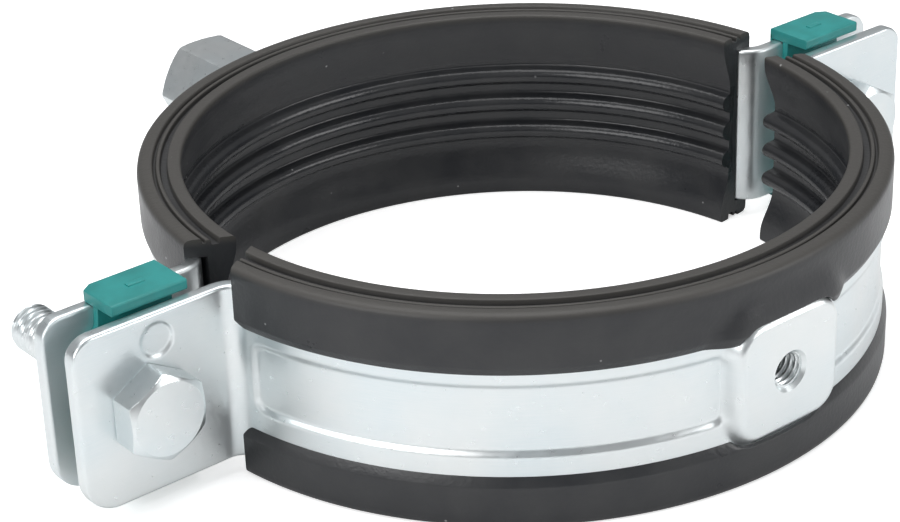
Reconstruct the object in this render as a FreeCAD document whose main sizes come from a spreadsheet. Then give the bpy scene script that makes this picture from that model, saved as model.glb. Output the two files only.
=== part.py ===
"""Two-screw pipe clamp with a rubber lining, lying flat.

The bore's axis is Z and the origin is its centre at mid height. The ears lie along X, the
front half band is on the -Y side and the rear one, with the connecting nut, on the +Y side.
All lengths are millimetres.
"""
import FreeCAD, Part
import Sketcher
import math
import os
import re

from FreeCAD import Placement, Rotation, Vector

os.makedirs("parts", exist_ok=True)
doc = FreeCAD.newDocument("PipeClamp")

SIZES = [
    ("bore_radius", 55.0, "rib crests, half of the pipe's diameter"),
    ("rib_height", 2.0, "rib crests above the rubber wall between them"),
    ("rubber_web", 2.0, "rubber between that wall and the strip"),
    ("strip", 2.5, "thickness of the strip"),
    ("strip_width", 30.0, "height of the strip along the bore"),
    ("ear_gap", 6.0, "space between the two ears of a side"),
    ("ear_reach", 28.5, "ear's free end from the strip's arc"),
    ("upper_corner", 4.0, "upper corner radius of an ear"),
    ("lower_corner", 6.0, "lower corner radius of an ear"),
    ("bend_radius", 3.0, "outside radius where the arc turns into the ear"),
    ("bolt_reach", 16.0, "bolt's axis from the strip's arc"),
    ("recess_depth", 0.6, "depth of the pressed panels"),
    ("recess_half", 5.7, "half height of the pressed panels"),
    ("recess_span", 66.0, "angle covered by one pressed panel"),
    ("recess_middle", 45.3, "azimuth of the panel's middle, from the ears' plane"),
    ("recess_corner", 3.0, "corner radius of the pressed panels"),
    ("boss_half_width", 9.7, "half width of the flat pad"),
    ("boss_half_height", 9.15, "half height of the flat pad"),
    ("boss_proud", 1.8, "flat pad's height above the arc"),
    ("boss_corner", 4.0, "corner radius of the flat pad"),
    ("boss_slope", 30.0, "slope of the pad's sides"),
    ("pad_core", 2.5, "core radius of the pad's M6 thread"),
    ("pad_mouth", 3.0, "radius of that thread's countersink"),
    ("dimple_radius", 2.8, "round dimple on the left front ear"),
    ("dimple_depth", 0.35, "its depth"),
    ("dimple_shift", 2.2, "its centre, this much nearer to the arc than the bolt"),
    ("dimple_height", 10.5, "its centre above the ear's middle"),
    ("clearance_radius", 4.5, "hole for the bolt in a front ear"),
    ("tapped_radius", 4.05, "hole for the bolt in a rear ear"),
    ("bolt_radius", 4.0, "bolt's thread, M8"),
    ("bolt_length", 35.0, "bolt under its head"),
    ("bolt_point", 1.0, "chamfer at the bolt's end"),
    ("head_flats", 13.0, "bolt head across its flats"),
    ("head_height", 5.3, "height of the bolt head"),
    ("head_crown", 0.9, "drop of the head's corners"),
    ("lip_thickness", 0.8, "rubber lips outside the strip"),
    ("edge_cover", 3.1, "rubber beyond the strip's edges"),
    ("rim_height", 2.7, "height of a rim's straight inner face"),
    ("upper_lip", 7.4, "strip covered by the upper lip"),
    ("lower_lip", 5.6, "strip covered by the lower lip"),
    ("lip_room", 0.5, "space between the lips and the pad"),
    ("rib_pitch", 5.6, "distance between the ribs"),
    ("rib_foot", 1.9, "half width of a rib at its foot"),
    ("rib_land", 0.8, "half width of a rib's crest"),
    ("rib_round", 0.4, "bevel of a rib's crest"),
    ("upper_round", 1.5, "upper outer corner of the rubber"),
    ("lower_round", 2.1, "lower outer corner of the rubber"),
    ("rim_round", 0.5, "inner corners of the rubber"),
    ("front_left_end", 6.5, "rubber's outer edge from the ears' plane, front left"),
    ("front_right_end", 9.0, "the same, front right"),
    ("rear_left_end", 6.3, "the same, rear left"),
    ("rear_right_end", 6.0, "the same, rear right"),
    ("end_slant", 0.58, "slope of the rubber's slanted end cuts"),
    ("clip_plate", 1.3, "thickness of the clip's plate"),
    ("clip_start", 3.5, "clip's inner end from the strip's arc"),
    ("clip_stop", 9.0, "outer end of the clip's caps from the ear's end"),
    ("clip_plate_stop", 6.0, "outer end of the clip's plate from the ear's end"),
    ("clip_cap", 2.0, "clip's caps beyond the ear's edges"),
    ("clip_lip", 0.6, "thickness of the clip's hook behind the ear"),
    ("clip_hook", 2.4, "height of that hook"),
    ("clip_reach", 0.4, "caps end this far short of the front ear"),
    ("clip_under", 0.3, "space over the front ear's edge once it has closed"),
    ("clip_hole", 5.2, "radius of the hole round the bolt"),
    ("nut_flats", 17.0, "connecting nut across its flats"),
    ("nut_length", 30.0, "length of the connecting nut"),
    ("nut_core", 4.25, "core radius of its M10 thread"),
    ("nut_mouth", 0.9, "chamfer of the thread's mouths"),
    ("nut_crown", 1.0, "drop of the nut's corners"),
]

JOINED = {
    "band_outer": "bore_radius + rib_height + rubber_web + strip",
    "floor_radius": "bore_radius + rib_height",
    "liner_outer": "band_outer + lip_thickness",
    "liner_half": "strip_width / 2 + edge_cover",
    "ear_end": "band_outer + ear_reach",
    "bolt_offset": "band_outer + bolt_reach",
    "dimple_offset": "band_outer + bolt_reach - dimple_shift",
    "clip_inner": "band_outer + clip_start",
    "clip_outer": "ear_end - clip_stop",
    "clip_plate_end": "ear_end - clip_plate_stop",
    "clip_top": "strip_width / 2 + clip_cap",
}

sheet = doc.addObject("Spreadsheet::Sheet", "Sizes")
for row, (alias, value, note) in enumerate(SIZES, start=1):
    sheet.set("A%d" % row, alias)
    sheet.set("B%d" % row, str(value))
    sheet.set("C%d" % row, note)
    sheet.setAlias("B%d" % row, alias)
doc.recompute()


def cell(text):
    """Expression whose joined words are written out and whose aliases point to the sheet."""
    names = [alias for alias, value, note in SIZES]

    def joined(found):
        word = found.group()
        if word in JOINED:
            return "( %s )" % cell(JOINED[word])
        return "Sizes." + word if word in names else word

    return re.sub("[a-z_]+", joined, text)


def number(holder, text):
    """Value of an expression in the sheet's words."""
    return float(holder.evalExpression(cell(text)))


def size(text):
    """Value of one word or expression, in millimetres or degrees."""
    return number(sheet, text)


def new_body(label):
    """Empty body, named after the piece."""
    body = doc.addObject("PartDesign::Body", label)
    body.Label = label
    return body


def sketch_on(body, role, name, offset=None, turn=None):
    """Sketch on one of the body's own planes, moved along its normal or turned about Z."""
    sketch = body.newObject("Sketcher::SketchObject", name)
    plane = [item for item in body.Origin.OriginFeatures if item.Role == role][0]
    sketch.AttachmentSupport = [(plane, "")]
    sketch.MapMode = "FlatFace"
    if turn:
        sketch.AttachmentOffset = Placement(Vector(0, 0, 0), Rotation(Vector(0, 1, 0), 1))
        sketch.setExpression("AttachmentOffset.Rotation.Angle", cell(turn))
    if offset:
        sketch.setExpression("AttachmentOffset.Base.z", cell(offset))
    return sketch


def bind(sketch, constraint, text):
    """Adds a constraint whose value is an expression."""
    index = sketch.addConstraint(constraint)
    sketch.setExpression("Constraints[%d]" % index, cell(text))


def place_point(sketch, item, end, across, along):
    """Holds one point of the sketch at two expressions from its origin."""
    bind(sketch, Sketcher.Constraint("DistanceX", -1, 1, item, end, number(sketch, across)), across)
    bind(sketch, Sketcher.Constraint("DistanceY", -1, 1, item, end, number(sketch, along)), along)


def polygon(sketch, corners):
    """Closed polygon whose corners are pairs of expressions."""
    points = [Vector(number(sketch, a), number(sketch, b), 0) for a, b in corners]
    first = sketch.GeometryCount
    count = len(points)
    for index in range(count):
        line = Part.LineSegment(points[index], points[(index + 1) % count])
        sketch.addGeometry(line, False)
    for index in range(count):
        after = first + (index + 1) % count
        sketch.addConstraint(Sketcher.Constraint("Coincident", first + index, 2, after, 1))
    for index, (across, along) in enumerate(corners):
        place_point(sketch, first + index, 1, across, along)


def circle(sketch, across, along, radius):
    """Circle at two expressions from the sketch's origin, or on it where both are None."""
    centre = Vector(0, 0, 0)
    if across:
        centre.x = number(sketch, across)
    if along:
        centre.y = number(sketch, along)
    ring = sketch.addGeometry(Part.Circle(centre, Vector(0, 0, 1), number(sketch, radius)), False)
    bind(sketch, Sketcher.Constraint("Radius", ring, number(sketch, radius)), radius)
    if not across and not along:
        sketch.addConstraint(Sketcher.Constraint("Coincident", ring, 3, -1, 1))
        return
    if along:
        bind(sketch, Sketcher.Constraint("DistanceY", -1, 1, ring, 3, centre.y), along)
    else:
        sketch.addConstraint(Sketcher.Constraint("PointOnObject", ring, 3, -1))
    bind(sketch, Sketcher.Constraint("DistanceX", -1, 1, ring, 3, centre.x), across)


def arc(centre, radius, start, end):
    """Arc that runs anticlockwise from one point to the other."""
    base = Part.Circle(centre, Vector(0, 0, 1), radius)
    first = math.atan2(start.y - centre.y, start.x - centre.x)
    last = math.atan2(end.y - centre.y, end.x - centre.x)
    if last < first:
        last = last + 2 * math.pi
    return Part.ArcOfCircle(base, first, last)


def rounded_rectangle(sketch, half_width, half_height, corner):
    """Rectangle about the sketch's origin with equal round corners."""
    wide = number(sketch, half_width)
    tall = number(sketch, half_height)
    turn = number(sketch, corner)
    flat = wide - turn
    side = tall - turn
    lines = []
    arcs = []
    ends = [
        (Vector(-flat, -tall, 0), Vector(flat, -tall, 0)),
        (Vector(wide, -side, 0), Vector(wide, side, 0)),
        (Vector(flat, tall, 0), Vector(-flat, tall, 0)),
        (Vector(-wide, side, 0), Vector(-wide, -side, 0)),
    ]
    for start, end in ends:
        lines.append(sketch.addGeometry(Part.LineSegment(start, end), False))
    centres = [(flat, -side), (flat, side), (-flat, side), (-flat, -side)]
    for index, (x, y) in enumerate(centres):
        start = ends[index][1]
        end = ends[(index + 1) % 4][0]
        arcs.append(sketch.addGeometry(arc(Vector(x, y, 0), turn, start, end), False))
    for index in range(4):
        after = lines[(index + 1) % 4]
        sketch.addConstraint(Sketcher.Constraint("Tangent", lines[index], 2, arcs[index], 1))
        sketch.addConstraint(Sketcher.Constraint("Tangent", arcs[index], 2, after, 1))
    for index, kind in enumerate(["Horizontal", "Vertical", "Horizontal", "Vertical"]):
        sketch.addConstraint(Sketcher.Constraint(kind, lines[index]))
    for index in (1, 2, 3):
        sketch.addConstraint(Sketcher.Constraint("Equal", arcs[0], arcs[index]))
    bind(sketch, Sketcher.Constraint("Radius", arcs[0], turn), corner)
    bind(sketch, Sketcher.Constraint("DistanceY", -1, 1, lines[0], 1, -tall), "- " + half_height)
    bind(sketch, Sketcher.Constraint("DistanceX", -1, 1, lines[1], 1, wide), half_width)
    bind(sketch, Sketcher.Constraint("DistanceY", -1, 1, lines[2], 1, tall), half_height)
    bind(sketch, Sketcher.Constraint("DistanceX", -1, 1, lines[3], 1, -wide), "- " + half_width)


def hexagon(sketch, flats, upright):
    """Hexagon about the sketch's origin, a corner or a flat at the top."""
    across = number(sketch, flats)
    reach = across / math.sqrt(3)
    first = sketch.GeometryCount
    start = 90 if upright else 0
    points = []
    for index in range(6):
        angle = math.radians(start + 60 * index)
        points.append(Vector(reach * math.cos(angle), reach * math.sin(angle), 0))
    for index in range(6):
        sketch.addGeometry(Part.LineSegment(points[index], points[(index + 1) % 6]), False)
    guide = sketch.addGeometry(Part.Circle(Vector(0, 0, 0), Vector(0, 0, 1), reach), True)
    sketch.addConstraint(Sketcher.Constraint("Coincident", guide, 3, -1, 1))
    for index in range(6):
        after = first + (index + 1) % 6
        sketch.addConstraint(Sketcher.Constraint("Coincident", first + index, 2, after, 1))
        sketch.addConstraint(Sketcher.Constraint("PointOnObject", first + index, 1, guide))
    for index in range(1, 6):
        sketch.addConstraint(Sketcher.Constraint("Equal", first, first + index))
    axis = -2 if upright else -1
    sketch.addConstraint(Sketcher.Constraint("PointOnObject", first, 1, axis))
    bind(sketch, Sketcher.Constraint("Diameter", guide, 2 * reach), "2 * " + flats + " / sqrt(3)")


def feature(body, kind, name, sketch):
    """Feature of the body made from one sketch."""
    item = body.newObject("PartDesign::" + kind, name)
    item.Profile = sketch
    sketch.Visibility = False
    return item


def check_change(item, before, grows):
    """Stops where a feature added or took away nothing."""
    doc.recompute()
    after = item.Shape.Volume
    if (grows and after <= before + 0.01) or (not grows and after >= before - 0.01):
        raise RuntimeError("%s changed nothing: %.2f %.2f" % (item.Name, before, after))


def pad(body, name, sketch, length, middle=False, backward=False, taper=None):
    """Pad along the sketch's normal, or against it, or half each way."""
    before = volume(body)
    item = feature(body, "Pad", name, sketch)
    item.Length = 1
    item.setExpression("Length", cell(length))
    item.Midplane = middle
    item.Reversed = backward
    if taper:
        item.setExpression("TaperAngle", cell(taper))
    check_change(item, before, True)
    return item


def pocket(body, name, sketch, length=None, middle=False, backward=False, taper=None):
    """Pocket against the sketch's normal, or along it, or half each way, or through all."""
    before = volume(body)
    item = feature(body, "Pocket", name, sketch)
    if length:
        item.Length = 1
        item.setExpression("Length", cell(length))
    else:
        item.Type = 1
    item.Midplane = middle
    item.Reversed = backward
    if taper:
        item.setExpression("TaperAngle", cell(taper))
    check_change(item, before, False)
    return item


def turned(body, name, sketch, angle, cuts, middle=False, backward=False):
    """Revolution or groove about the sketch's upright axis."""
    before = volume(body)
    item = feature(body, "Groove" if cuts else "Revolution", name, sketch)
    item.ReferenceAxis = (sketch, ["V_Axis"])
    item.Angle = 180
    item.setExpression("Angle", cell(angle))
    item.Midplane = middle
    item.Reversed = backward
    check_change(item, before, not cuts)
    return item


def volume(body):
    """Volume of the body so far."""
    doc.recompute()
    if body.Tip is None or body.Tip.Shape.isNull():
        return 0.0
    return body.Tip.Shape.Volume


def edges_of(body, test):
    """Names of the body's edges that pass a test of the edge."""
    doc.recompute()
    names = []
    for index, edge in enumerate(body.Tip.Shape.Edges, start=1):
        if test(edge):
            names.append("Edge%d" % index)
    return names


def soften(body, kind, name, test, text):
    """Fillet or chamfer on the edges that pass a test."""
    names = edges_of(body, test)
    if not names:
        raise RuntimeError("no edges for " + name)
    base = body.Tip
    item = body.newObject("PartDesign::" + kind, name)
    item.Base = (base, names)
    label = "Radius" if kind == "Fillet" else "Size"
    item.setExpression(label, cell(text))
    doc.recompute()
    return item


def ends_of(edge):
    """First and last point of an edge."""
    return edge.Vertexes[0].Point, edge.Vertexes[-1].Point


def upright_to(edge, axis):
    """True for a straight edge along the given axis."""
    if len(edge.Vertexes) < 2 or edge.Curve.TypeId != "Part::GeomLine":
        return False
    start, end = ends_of(edge)
    along = end - start
    return abs(abs(along.dot(axis)) - along.Length) < 1e-4


def ring_edge(edge, radius, height=None):
    """True for an arc about Z of one radius, at one height or at any."""
    if edge.Curve.TypeId != "Part::GeomCircle":
        return False
    curve = edge.Curve
    centred = math.hypot(curve.Center.x, curve.Center.y) < 1e-3
    level = height is None or abs(curve.Center.z - height) < 1e-3
    return centred and level and abs(curve.Radius - radius) < 1e-3


def strip_outline(sketch):
    """Edge view of one bent strip: arc, two bends and two ears, on the -Y side.

    Each bend touches the arc on one side and the ear on the other, inside and outside.
    """
    outer = size("band_outer")
    inner = outer - size("strip")
    near = size("ear_gap") / 2
    far = near + size("strip")
    small = size("bend_radius")
    large = small + size("strip")
    end = size("ear_end")
    down = far + small
    across = math.sqrt((outer + small) ** 2 - down ** 2)
    scale_out = outer / (outer + small)
    scale_in = inner / (outer + small)
    origin = Vector(0, 0, 0)

    def both(x, y):
        return Vector(-x, y, 0), Vector(x, y, 0)

    bend_left, bend_right = both(across, -down)
    touch_out = both(across * scale_out, -down * scale_out)
    touch_in = both(across * scale_in, -down * scale_in)
    ear_out = both(across, -far)
    ear_in = both(across, -near)
    end_out = both(end, -far)
    end_in = both(end, -near)
    shapes = [
        arc(origin, outer, touch_out[0], touch_out[1]),
        arc(bend_left, small, touch_out[0], ear_out[0]),
        Part.LineSegment(ear_out[0], end_out[0]),
        Part.LineSegment(end_out[0], end_in[0]),
        Part.LineSegment(end_in[0], ear_in[0]),
        arc(bend_left, large, touch_in[0], ear_in[0]),
        arc(origin, inner, touch_in[0], touch_in[1]),
        arc(bend_right, large, ear_in[1], touch_in[1]),
        Part.LineSegment(ear_in[1], end_in[1]),
        Part.LineSegment(end_in[1], end_out[1]),
        Part.LineSegment(end_out[1], ear_out[1]),
        arc(bend_right, small, ear_out[1], touch_out[1]),
    ]
    for shape in shapes:
        sketch.addGeometry(shape, False)
    touching = [
        (0, 1, 1, 1), (1, 2, 2, 1), (4, 2, 5, 2), (5, 1, 6, 1),
        (6, 2, 7, 2), (7, 1, 8, 1), (10, 2, 11, 1), (11, 2, 0, 2),
    ]
    for one, one_end, other, other_end in touching:
        sketch.addConstraint(Sketcher.Constraint("Tangent", one, one_end, other, other_end))
    for one in (2, 3, 8, 9):
        sketch.addConstraint(Sketcher.Constraint("Coincident", one, 2, one + 1, 1))
    for ring in (0, 6):
        sketch.addConstraint(Sketcher.Constraint("Coincident", ring, 3, -1, 1))
    for line in (2, 4, 8, 10):
        sketch.addConstraint(Sketcher.Constraint("Horizontal", line))
    for line in (3, 9):
        sketch.addConstraint(Sketcher.Constraint("Vertical", line))
    for item, value, text in [
        (0, outer, "band_outer"),
        (6, inner, "band_outer - strip"),
        (1, small, "bend_radius"),
        (11, small, "bend_radius"),
        (5, large, "bend_radius + strip"),
        (7, large, "bend_radius + strip"),
    ]:
        bind(sketch, Sketcher.Constraint("Radius", item, value), text)
    for item in (3, 9):
        top = 2 if item == 3 else 1
        low = 1 if item == 3 else 2
        bind(sketch, Sketcher.Constraint("DistanceY", -1, 1, item, top, -near), "- ear_gap / 2")
        bind(sketch, Sketcher.Constraint("DistanceY", -1, 1, item, low, -far), "- ear_gap / 2 - strip")
    bind(sketch, Sketcher.Constraint("DistanceX", -1, 1, 3, 1, -end), "- ear_end")
    bind(sketch, Sketcher.Constraint("DistanceX", -1, 1, 9, 1, end), "ear_end")


def make_band(label, hole_radius, pad_hole, dimple):
    """Half band: bent strip, pressed panels each side of a flat pad, holes in the ears."""
    body = new_body(label)
    outline = sketch_on(body, "XY_Plane", label + "_outline")
    strip_outline(outline)
    pad(body, label + "_strip", outline, "strip_width", middle=True)
    end = size("ear_end")

    def corner(edge):
        return upright_to(edge, Vector(0, 1, 0)) and abs(abs(edge.CenterOfMass.x) - end) < 1e-3

    for level, word in ((1, "upper_corner"), (-1, "lower_corner")):
        soften(body, "Fillet", "%s_%s" % (label, word),
               lambda edge: corner(edge) and edge.CenterOfMass.z * level > 0, word)

    panel = sketch_on(body, "XZ_Plane", label + "_panel", turn="recess_middle")
    polygon(panel, [
        ("- band_outer - 2", "- recess_half"),
        ("- band_outer + recess_depth", "- recess_half"),
        ("- band_outer + recess_depth", "recess_half"),
        ("- band_outer - 2", "recess_half"),
    ])
    groove = turned(body, label + "_left_panel", panel, "recess_span", True, middle=True)
    mirror = body.newObject("PartDesign::Mirrored", label + "_right_panel")
    mirror.Originals = [groove]
    side = [item for item in body.Origin.OriginFeatures if item.Role == "YZ_Plane"][0]
    mirror.MirrorPlane = (side, [""])
    body.Tip = mirror
    before = groove.Shape.Volume
    check_change(mirror, before, False)
    outer = size("band_outer")
    depth = size("recess_depth")
    half = size("recess_half")

    def panel_corner(edge):
        point = edge.CenterOfMass
        reach = math.hypot(point.x, point.y)
        deep = abs(reach - outer + depth / 2) < depth * 0.3
        return edge.Curve.TypeId == "Part::GeomLine" and deep and abs(abs(point.z) - half) < 1e-3

    soften(body, "Fillet", label + "_panel_corners", panel_corner, "recess_corner")

    boss = sketch_on(body, "XZ_Plane", label + "_pad", offset="band_outer + boss_proud")
    rounded_rectangle(boss, "boss_half_width", "boss_half_height", "boss_corner")
    pad(body, label + "_raised_pad", boss, "boss_proud + 0.75 * strip", backward=True,
        taper="boss_slope")
    hollow = sketch_on(body, "XZ_Plane", label + "_hollow", offset="band_outer + boss_proud - strip")
    rounded_rectangle(hollow, "( boss_half_width - 0.58 * strip )",
                      "( boss_half_height - 0.58 * strip )", "( boss_corner - 0.4 * strip )")
    pocket(body, label + "_pad_hollow", hollow, "boss_proud + 0.8 * strip", taper="boss_slope")

    holes = sketch_on(body, "XZ_Plane", label + "_holes")
    circle(holes, "bolt_offset", None, hole_radius)
    circle(holes, "- bolt_offset", None, hole_radius)
    if pad_hole:
        circle(holes, None, None, "pad_core")
    pocket(body, label + "_bolt_holes", holes, backward=True)
    face = -size("band_outer") - size("boss_proud")
    if pad_hole:
        def mouth(edge):
            return (edge.Curve.TypeId == "Part::GeomCircle" and abs(edge.CenterOfMass.x) < 0.1
                    and abs(edge.CenterOfMass.y - face) < 1e-3
                    and abs(edge.Curve.Radius - size("pad_core")) < 1e-3)

        soften(body, "Chamfer", label + "_countersink", mouth, "pad_mouth - pad_core")
    if dimple:
        mark = sketch_on(body, "XZ_Plane", label + "_mark", offset="ear_gap / 2 + strip")
        circle(mark, "- dimple_offset", "dimple_height", "dimple_radius")
        pocket(body, label + "_dimple", mark, "dimple_depth")
    return body


def liner_end(body, name, side, reach, slope):
    """Slanted cut across one end of the rubber, through its whole height."""
    sketch = sketch_on(body, "XY_Plane", name)
    sign = "" if side > 0 else "- "
    polygon(sketch, [
        (sign + "( liner_outer + 4 )", "2"),
        (sign + "( liner_outer + 4 )", "- %s - 4 * %s" % (reach, slope)),
        (sign + "( bore_radius - 4 )", "- %s + ( liner_outer - bore_radius + 4 ) * %s" % (reach, slope)),
        (sign + "( bore_radius - 4 )", "2"),
    ])
    pocket(body, name + "_cut", sketch, "2 * liner_half + 4", middle=True)


def liner_profile():
    """Corners of the rubber's section: ribs, rims, stepped edges and the hooks of the lips.

    The outer corners are rounded in three steps, the ribs and inner corners in one.
    """
    ribs = []
    for middle in ("- rib_pitch", "0", "rib_pitch"):
        for sign in (" - ", " + "):
            flank = [
                ("floor_radius", middle + sign + "rib_foot"),
                ("bore_radius + rib_round", middle + sign + "( rib_land + rib_round )"),
                ("bore_radius", middle + sign + "rib_land"),
            ]
            ribs.extend(flank if sign == " - " else flank[::-1])

    def hook(cover, rounding):
        lip = "( strip_width / 2 - %s )" % cover
        return [
            ("floor_radius", "liner_half - rim_height - 1.2 * rib_height"),
            ("bore_radius", "liner_half - rim_height"),
            ("bore_radius", "liner_half - rim_round"),
            ("bore_radius + rim_round", "liner_half"),
            ("liner_outer - 5.1", "liner_half"),
            ("liner_outer - 5.1", "liner_half - 1.1"),
            ("liner_outer - 3.8", "liner_half - 1.1"),
            ("liner_outer - 3.8", "liner_half - 0.3"),
            ("liner_outer - 3.2", "liner_half - 0.3"),
            ("liner_outer - 3.2", "liner_half - 0.8"),
            ("liner_outer - 2.6", "liner_half - 0.8"),
            ("liner_outer - 2.6", "liner_half"),
            ("liner_outer - " + rounding, "liner_half"),
            ("liner_outer - 0.5 * " + rounding, "liner_half - 0.134 * " + rounding),
            ("liner_outer - 0.134 * " + rounding, "liner_half - 0.5 * " + rounding),
            ("liner_outer", "liner_half - " + rounding),
            ("liner_outer", lip + " + 2 * lip_thickness"),
            ("band_outer", lip),
            ("band_outer", "strip_width / 2"),
            ("band_outer - strip", "strip_width / 2"),
        ]

    upper = hook("upper_lip", "upper_round")
    lower = [(reach, "- ( %s )" % height) for reach, height in hook("lower_lip", "lower_round")]
    return ribs + upper + lower[::-1]


def make_liner(label, left_end, left_slope, right_end, right_slope):
    """Rubber half ring: lips round the strip's edges, rims, three ribs and slanted ends."""
    body = new_body(label)
    section = sketch_on(body, "XZ_Plane", label + "_section")
    polygon(section, liner_profile())
    turned(body, label + "_half_ring", section, "180", False, backward=True)
    for name, side, reach, slope in (
        (label + "_left_end", -1, left_end, left_slope),
        (label + "_right_end", 1, right_end, right_slope),
    ):
        lip_relief(body, name + "_lip", side)
        liner_end(body, name, side, reach, slope)
    foot = "0.5 + boss_proud * tan( boss_slope ) + lip_room"
    reach = "( boss_half_height + %s )" % foot
    room = sketch_on(body, "YZ_Plane", label + "_room")
    polygon(room, [
        ("- band_outer + 0.6 * strip", "- " + reach),
        ("- band_outer + 0.6 * strip", reach),
        ("- liner_outer - 1", reach),
        ("- liner_outer - 1", "- " + reach),
    ])
    turned(body, label + "_pad_room", room, "2 * asin( ( boss_half_width + %s ) / band_outer )" % foot,
           True, middle=True)
    return body


def lip_relief(body, name, side):
    """Bevels the lip's end, between the strip's edges, so that it clears the bend."""
    sign = "" if side > 0 else "- "
    centre = "sqrt( ( band_outer + bend_radius ) ^ 2 - ( ear_gap / 2 + strip + bend_radius ) ^ 2 )"
    ratio = "band_outer / ( band_outer + bend_radius )"
    touch_x = "( %s * %s )" % (centre, ratio)
    touch_y = "( ear_gap / 2 + strip + bend_radius ) * " + ratio
    sketch = sketch_on(body, "XY_Plane", name)
    polygon(sketch, [
        (sign + "( %s - 1 )" % touch_x, "- %s" % touch_y),
        (sign + touch_x, "- %s" % touch_y),
        (sign + "( %s + 2 )" % touch_x, "- %s + 3.65" % touch_y),
        (sign + "( %s + 2 )" % touch_x, "2"),
        (sign + "( %s - 1 )" % touch_x, "2"),
    ])
    pocket(body, name + "_relief", sketch, "strip_width", middle=True)


def crown(body, name, flats, drop, level):
    """Cuts a hexagon's corners back to a shallow cone at one end."""
    sketch = sketch_on(body, "YZ_Plane", name)
    sign = "" if level[0] != "-" else "- "
    face = level.lstrip("- ")
    reach = "( %s / sqrt(3) )" % flats
    polygon(sketch, [
        (level, "( %s / 2 - 0.2 )" % flats),
        (sign + "( %s - %s )" % (face, drop), "( %s + 0.01 )" % reach),
        (sign + "( %s - %s )" % (face, drop), "( %s + 2 )" % reach),
        (sign + "( %s + 1 )" % face, "( %s + 2 )" % reach),
        (sign + "( %s + 1 )" % face, "( %s / 2 - 0.2 )" % flats),
    ])
    before = volume(body)
    item = feature(body, "Groove", name + "_cut", sketch)
    item.ReferenceAxis = (sketch, ["H_Axis"])
    item.Angle = 360
    check_change(item, before, False)


def make_bolt(label, across):
    """Hex bolt along +Y, the underside of its head on the front ear's face."""
    body = new_body(label)
    head = sketch_on(body, "XZ_Plane", label + "_hexagon", offset="0")
    hexagon(head, "head_flats", True)
    pad(body, label + "_head", head, "head_height")
    crown(body, label + "_crown", "head_flats", "head_crown", "- head_height")
    shank = sketch_on(body, "XZ_Plane", label + "_circle")
    circle(shank, None, None, "bolt_radius")
    pad(body, label + "_shank", shank, "bolt_length", backward=True)
    radius = size("bolt_radius")
    length = size("bolt_length")

    def tip(edge):
        return (edge.Curve.TypeId == "Part::GeomCircle" and abs(edge.Curve.Radius - radius) < 1e-3
                and abs(edge.CenterOfMass.y - length) < 1e-3)

    soften(body, "Chamfer", label + "_point", tip, "bolt_point")
    body.setExpression("Placement.Base.x", cell(across))
    body.setExpression("Placement.Base.y", cell("- ear_gap / 2 - strip"))
    return body


def make_nut(label):
    """Long hexagon nut, its closed end on the rear pad's face."""
    body = new_body(label)
    outline = sketch_on(body, "XZ_Plane", label + "_hexagon")
    hexagon(outline, "nut_flats", False)
    pad(body, label + "_prism", outline, "nut_length", backward=True)
    crown(body, label + "_crown", "nut_flats", "nut_crown", "nut_length")
    bore = sketch_on(body, "XZ_Plane", label + "_core")
    circle(bore, None, None, "nut_core")
    pocket(body, label + "_thread", bore)
    radius = size("nut_core")

    def mouth(edge):
        return edge.Curve.TypeId == "Part::GeomCircle" and abs(edge.Curve.Radius - radius) < 1e-3

    soften(body, "Chamfer", label + "_mouths", mouth, "nut_mouth")
    body.setExpression("Placement.Base.y", cell("band_outer + boss_proud"))
    return body


def clip_bar(body, name, corners, start, length, side):
    """Bar of the clip along X with the given outline in the YZ plane."""
    sign = "" if side > 0 else "- "
    sketch = sketch_on(body, "YZ_Plane", name, offset=sign + start)
    polygon(sketch, corners)
    pad(body, name + "_bar", sketch, length, backward=side < 0)


def make_clip(label, side):
    """Plastic clip on a rear ear: plate on its inner face, caps over its two edges."""
    body = new_body(label)
    ear = "ear_gap / 2"
    back = "ear_gap / 2 + strip"
    edge = "strip_width / 2"
    clip_bar(body, label + "_plate", [
        (ear + " - clip_plate", "- " + edge + " - clip_under"),
        (ear, "- " + edge + " - clip_under"),
        (ear, edge + " + clip_under"),
        (ear + " - clip_plate", edge + " + clip_under"),
    ], "clip_inner", "clip_plate_end - clip_inner", side)
    for name, sign in (("top", ""), ("low", "- ")):
        clip_bar(body, label + "_" + name, [
            ("- ear_gap / 2 + clip_reach", sign + "( %s + clip_under )" % edge),
            (ear + " - 0.5 * clip_plate", sign + "( %s + clip_under )" % edge),
            (ear + " - 0.5 * clip_plate", sign + "( %s )" % edge),
            (back, sign + "( %s )" % edge),
            (back, sign + "( %s - clip_hook )" % edge),
            (back + " + clip_lip", sign + "( %s - clip_hook )" % edge),
            (back + " + clip_lip", sign + "clip_top"),
            ("- ear_gap / 2 + clip_reach", sign + "clip_top"),
        ], "clip_inner", "clip_outer - clip_inner", side)
    hole = sketch_on(body, "XZ_Plane", label + "_hole")
    circle(hole, ("" if side > 0 else "- ") + "bolt_offset", None, "clip_hole")
    pocket(body, label + "_bolt_hole", hole)
    return body



bodies = [
    make_band("rear_band", "tapped_radius", False, False),
    make_band("front_band", "clearance_radius", True, True),
    make_liner("rear_liner", "rear_right_end", "0.1", "rear_left_end", "end_slant"),
    make_liner("front_liner", "front_left_end", "end_slant", "front_right_end", "end_slant"),
    make_bolt("left_bolt", "- bolt_offset"),
    make_bolt("right_bolt", "bolt_offset"),
    make_clip("left_clip", -1),
    make_clip("right_clip", 1),
    make_nut("connecting_nut"),
]
# The rear half is the front one's shape turned half round the bore's axis.
half_turn = Placement(Vector(0, 0, 0), Rotation(Vector(0, 0, 1), 180))
bodies[0].Placement = half_turn
bodies[2].Placement = half_turn
doc.recompute()

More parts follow.
